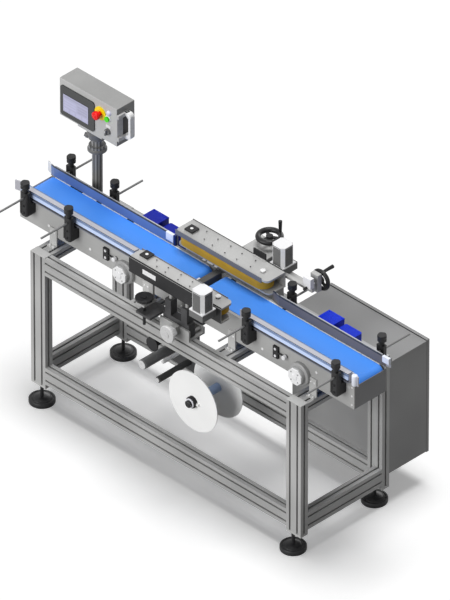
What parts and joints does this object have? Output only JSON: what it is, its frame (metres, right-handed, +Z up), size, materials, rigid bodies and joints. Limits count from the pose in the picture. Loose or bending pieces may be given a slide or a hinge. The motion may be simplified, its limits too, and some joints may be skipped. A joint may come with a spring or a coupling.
{
  "type": "linear labeling machine",
  "caption": "Inline labeling machine on a slotted frame: belt conveyors in line, side gripper belts over the gap, label head below, swivel operator panel and rear cabinet.",
  "frame": {"origin": "on the floor, under the middle of the overall length and depth", "axes": "+X along product travel, +Y towards the back where the cabinet is, +Z up"},
  "size_m": [2.128, 0.92, 1.513],
  "materials": {
    "profile_aluminium": "satin anodised",
    "plate_aluminium": "satin anodised",
    "light_paint": "satin powder coat",
    "black_plastic": "matt",
    "dark_metal": "satin",
    "steel": "brushed",
    "belt_blue": "smooth",
    "belt_ochre": "matt",
    "motor_blue": "gloss",
    "white_plastic": "gloss",
    "screen": "gloss",
    "safety_yellow": "gloss",
    "safety_red": "gloss",
    "button_green": "gloss"
  },
  "bodies": {
    "root": {"cabinet_body": "light_paint", "conveyor_beds": "steel", "conveyor_belts": "belt_blue", "conveyor_brackets": "plate_aluminium", "conveyor_motors": "motor_blue", "conveyor_side_plates": "plate_aluminium", "drive_housings": "white_plastic", "frame_cross_rails": "profile_aluminium", "frame_legs": "profile_aluminium", "frame_long_rails": "profile_aluminium", "front_column": "plate_aluminium", "guide_clamps": "black_plastic", "label_head_frame": "dark_metal", "leg_end_plates": "plate_aluminium", "levelling_feet": "black_plastic", "lift_column": "plate_aluminium", "machine_screws": "steel", "panel_post": "light_paint", "peel_plate": "plate_aluminium", "photo_sensors": "black_plastic"},
    "panel": {"estop_collar": "safety_yellow", "panel_box": "light_paint", "panel_handle": "light_paint", "panel_screen": "screen"},
    "estop": {"estop_button": "safety_red"},
    "start": {"start_button": "button_green"},
    "selector": {"selector_switch": "dark_metal"},
    "door": {"cabinet_door": "light_paint"},
    "lock": {"door_lock": "black_plastic"},
    "left_tail": {"left_tail_roller": "steel"},
    "left_drive": {"left_drive_roller": "steel"},
    "left_head": {"left_head_roller": "steel"},
    "right_tail": {"right_tail_roller": "steel"},
    "right_drive": {"right_drive_roller": "steel"},
    "right_head": {"right_head_roller": "steel"},
    "front_left_rail": {"front_left_guide": "plate_aluminium"},
    "front_right_rail": {"front_right_guide": "plate_aluminium"},
    "back_left_rail": {"back_left_guide": "plate_aluminium"},
    "back_right_rail": {"back_right_guide": "plate_aluminium"},
    "back_lift": {"lift_carriage": "plate_aluminium"},
    "lift_wheel": {"lift_handwheel": "black_plastic"},
    "width_wheel": {"width_handwheel": "black_plastic"},
    "back_gripper": {"back_gripper_belt": "belt_ochre", "back_gripper_frame": "plate_aluminium", "back_gripper_motor": "dark_metal"},
    "back_drive": {"back_drive_pulley": "steel"},
    "back_idler": {"back_idler_pulley": "steel"},
    "front_carriage": {"front_slide": "dark_metal"},
    "width_knob": {"front_width_knob": "white_plastic"},
    "lift_knob": {"front_lift_knob": "black_plastic"},
    "front_gripper": {"front_gripper_belt": "belt_ochre", "front_gripper_frame": "plate_aluminium", "front_gripper_motor": "dark_metal"},
    "front_drive": {"front_drive_pulley": "steel"},
    "front_idler": {"front_idler_pulley": "steel"},
    "reel": {"label_reel": "plate_aluminium"},
    "pull": {"pull_roller": "dark_metal"},
    "dancer": {"dancer_roller": "dark_metal"},
    "web": {"web_roller": "white_plastic"},
    "rewind": {"rewind_spool": "black_plastic"}
  },
  "joints": [
    {"name": "panel_swivel", "type": "hinge", "parent": "root", "child": "panel", "pos_m": [-0.825, 0.024, 1.299], "axis": [0, 0, 1], "range_deg": [-90, 90]},
    {"name": "estop_press", "type": "slide", "parent": "panel", "child": "estop", "axis": [0, 1, 0], "range_m": [0, 0.006]},
    {"name": "start_press", "type": "slide", "parent": "panel", "child": "start", "axis": [0, 1, 0], "range_m": [0, 0.004], "stiffness_N_per_m": 300, "springref_m": -0.002},
    {"name": "selector_turn", "type": "hinge", "parent": "panel", "child": "selector", "pos_m": [-0.7, -0.031, 1.372], "axis": [0, 1, 0], "range_deg": [-45, 45]},
    {"name": "door_hinge", "type": "hinge", "parent": "root", "child": "door", "pos_m": [0.202, 0.436, 0.17], "axis": [0, 0, 1], "range_deg": [0, 110]},
    {"name": "lock_turn", "type": "hinge", "parent": "door", "child": "lock", "pos_m": [0.772, 0.451, 0.4685], "axis": [0, 1, 0], "range_deg": [0, 90]},
    {"name": "left_tail_spin", "type": "hinge", "parent": "root", "child": "left_tail", "pos_m": [-1.003, -0.146, 0.958], "axis": [0, 1, 0], "continuous": true},
    {"name": "left_drive_spin", "type": "hinge", "parent": "root", "child": "left_drive", "pos_m": [-0.373, -0.146, 0.89], "axis": [0, 1, 0], "continuous": true},
    {"name": "left_head_spin", "type": "hinge", "parent": "root", "child": "left_head", "pos_m": [-0.05, -0.146, 0.958], "axis": [0, 1, 0], "continuous": true},
    {"name": "right_tail_spin", "type": "hinge", "parent": "root", "child": "right_tail", "pos_m": [0.077, -0.146, 0.958], "axis": [0, 1, 0], "continuous": true},
    {"name": "right_drive_spin", "type": "hinge", "parent": "root", "child": "right_drive", "pos_m": [0.715, -0.146, 0.89], "axis": [0, 1, 0], "continuous": true},
    {"name": "right_head_spin", "type": "hinge", "parent": "root", "child": "right_head", "pos_m": [1.002, -0.146, 0.958], "axis": [0, 1, 0], "continuous": true},
    {"name": "front_left_rail_slide", "type": "slide", "parent": "root", "child": "front_left_rail", "axis": [0, 1, 0], "range_m": [0, 0.06]},
    {"name": "back_left_rail_slide", "type": "slide", "parent": "root", "child": "back_left_rail", "axis": [0, -1, 0], "range_m": [0, 0.06]},
    {"name": "front_right_rail_slide", "type": "slide", "parent": "root", "child": "front_right_rail", "axis": [0, 1, 0], "range_m": [0, 0.06]},
    {"name": "back_right_rail_slide", "type": "slide", "parent": "root", "child": "back_right_rail", "axis": [0, -1, 0], "range_m": [0, 0.06]},
    {"name": "back_lift_slide", "type": "slide", "parent": "root", "child": "back_lift", "axis": [0, 0, 1], "range_m": [-0.008, 0.06]},
    {"name": "lift_wheel_turn", "type": "hinge", "parent": "back_lift", "child": "lift_wheel", "pos_m": [0.13, 0.141, 1.094], "axis": [0, 0, 1], "range_deg": [-288, 2160]},
    {"name": "width_wheel_turn", "type": "hinge", "parent": "back_lift", "child": "width_wheel", "pos_m": [0.459, 0.111, 1.072], "axis": [0, 1, 0], "range_deg": [0, 1440]},
    {"name": "back_gripper_slide", "type": "slide", "parent": "back_lift", "child": "back_gripper", "axis": [0, -1, 0], "range_m": [0, 0.04]},
    {"name": "front_carriage_slide", "type": "slide", "parent": "root", "child": "front_carriage", "axis": [0, 1, 0], "range_m": [0, 0.038]},
    {"name": "width_knob_turn", "type": "hinge", "parent": "root", "child": "width_knob", "pos_m": [0.048, -0.416, 0.843], "axis": [0, 1, 0], "range_deg": [0, 1368]},
    {"name": "front_gripper_lift", "type": "slide", "parent": "front_carriage", "child": "front_gripper", "axis": [0, 0, 1], "range_m": [0, 0.06]},
    {"name": "lift_knob_turn", "type": "hinge", "parent": "front_gripper", "child": "lift_knob", "pos_m": [-0.112, -0.394, 0.943], "axis": [0, 0, 1], "range_deg": [0, 2160]},
    {"name": "back_drive_spin", "type": "hinge", "parent": "back_gripper", "child": "back_drive", "pos_m": [0.26, -0.029, 1.073], "axis": [0, 0, 1], "continuous": true},
    {"name": "back_idler_spin", "type": "hinge", "parent": "back_gripper", "child": "back_idler", "pos_m": [-0.182, -0.029, 1.073], "axis": [0, 0, 1], "continuous": true},
    {"name": "front_drive_spin", "type": "hinge", "parent": "front_gripper", "child": "front_drive", "pos_m": [0.26, -0.307, 1.073], "axis": [0, 0, 1], "continuous": true},
    {"name": "front_idler_spin", "type": "hinge", "parent": "front_gripper", "child": "front_idler", "pos_m": [-0.182, -0.307, 1.073], "axis": [0, 0, 1], "continuous": true},
    {"name": "reel_spin", "type": "hinge", "parent": "root", "child": "reel", "pos_m": [0.022, -0.044, 0.376], "axis": [0, 1, 0], "continuous": true},
    {"name": "pull_spin", "type": "hinge", "parent": "root", "child": "pull", "pos_m": [-0.28, -0.044, 0.43], "axis": [0, 1, 0], "continuous": true},
    {"name": "dancer_spin", "type": "hinge", "parent": "root", "child": "dancer", "pos_m": [-0.183, -0.044, 0.396], "axis": [0, 1, 0], "continuous": true},
    {"name": "web_spin", "type": "hinge", "parent": "root", "child": "web", "pos_m": [-0.153, -0.044, 0.507], "axis": [0, 1, 0], "continuous": true},
    {"name": "rewind_spin", "type": "hinge", "parent": "root", "child": "rewind", "pos_m": [-0.27, -0.044, 0.52], "axis": [0, 1, 0], "continuous": true}
  ],
  "couplings": [
    {"joint": "left_tail_spin", "follows": "left_drive_spin", "ratio": 1.0714},
    {"joint": "left_head_spin", "follows": "left_drive_spin", "ratio": 1.0714},
    {"joint": "right_tail_spin", "follows": "right_drive_spin", "ratio": 1.0714},
    {"joint": "right_head_spin", "follows": "right_drive_spin", "ratio": 1.0714},
    {"joint": "lift_wheel_turn", "follows": "back_lift_slide", "rad_per_m": 628.32},
    {"joint": "width_wheel_turn", "follows": "back_gripper_slide", "rad_per_m": 628.32},
    {"joint": "width_knob_turn", "follows": "front_carriage_slide", "rad_per_m": 628.32},
    {"joint": "lift_knob_turn", "follows": "front_gripper_lift", "rad_per_m": 628.32},
    {"joint": "back_idler_spin", "follows": "back_drive_spin", "ratio": 1},
    {"joint": "front_idler_spin", "follows": "front_drive_spin", "ratio": 1}
  ]
}
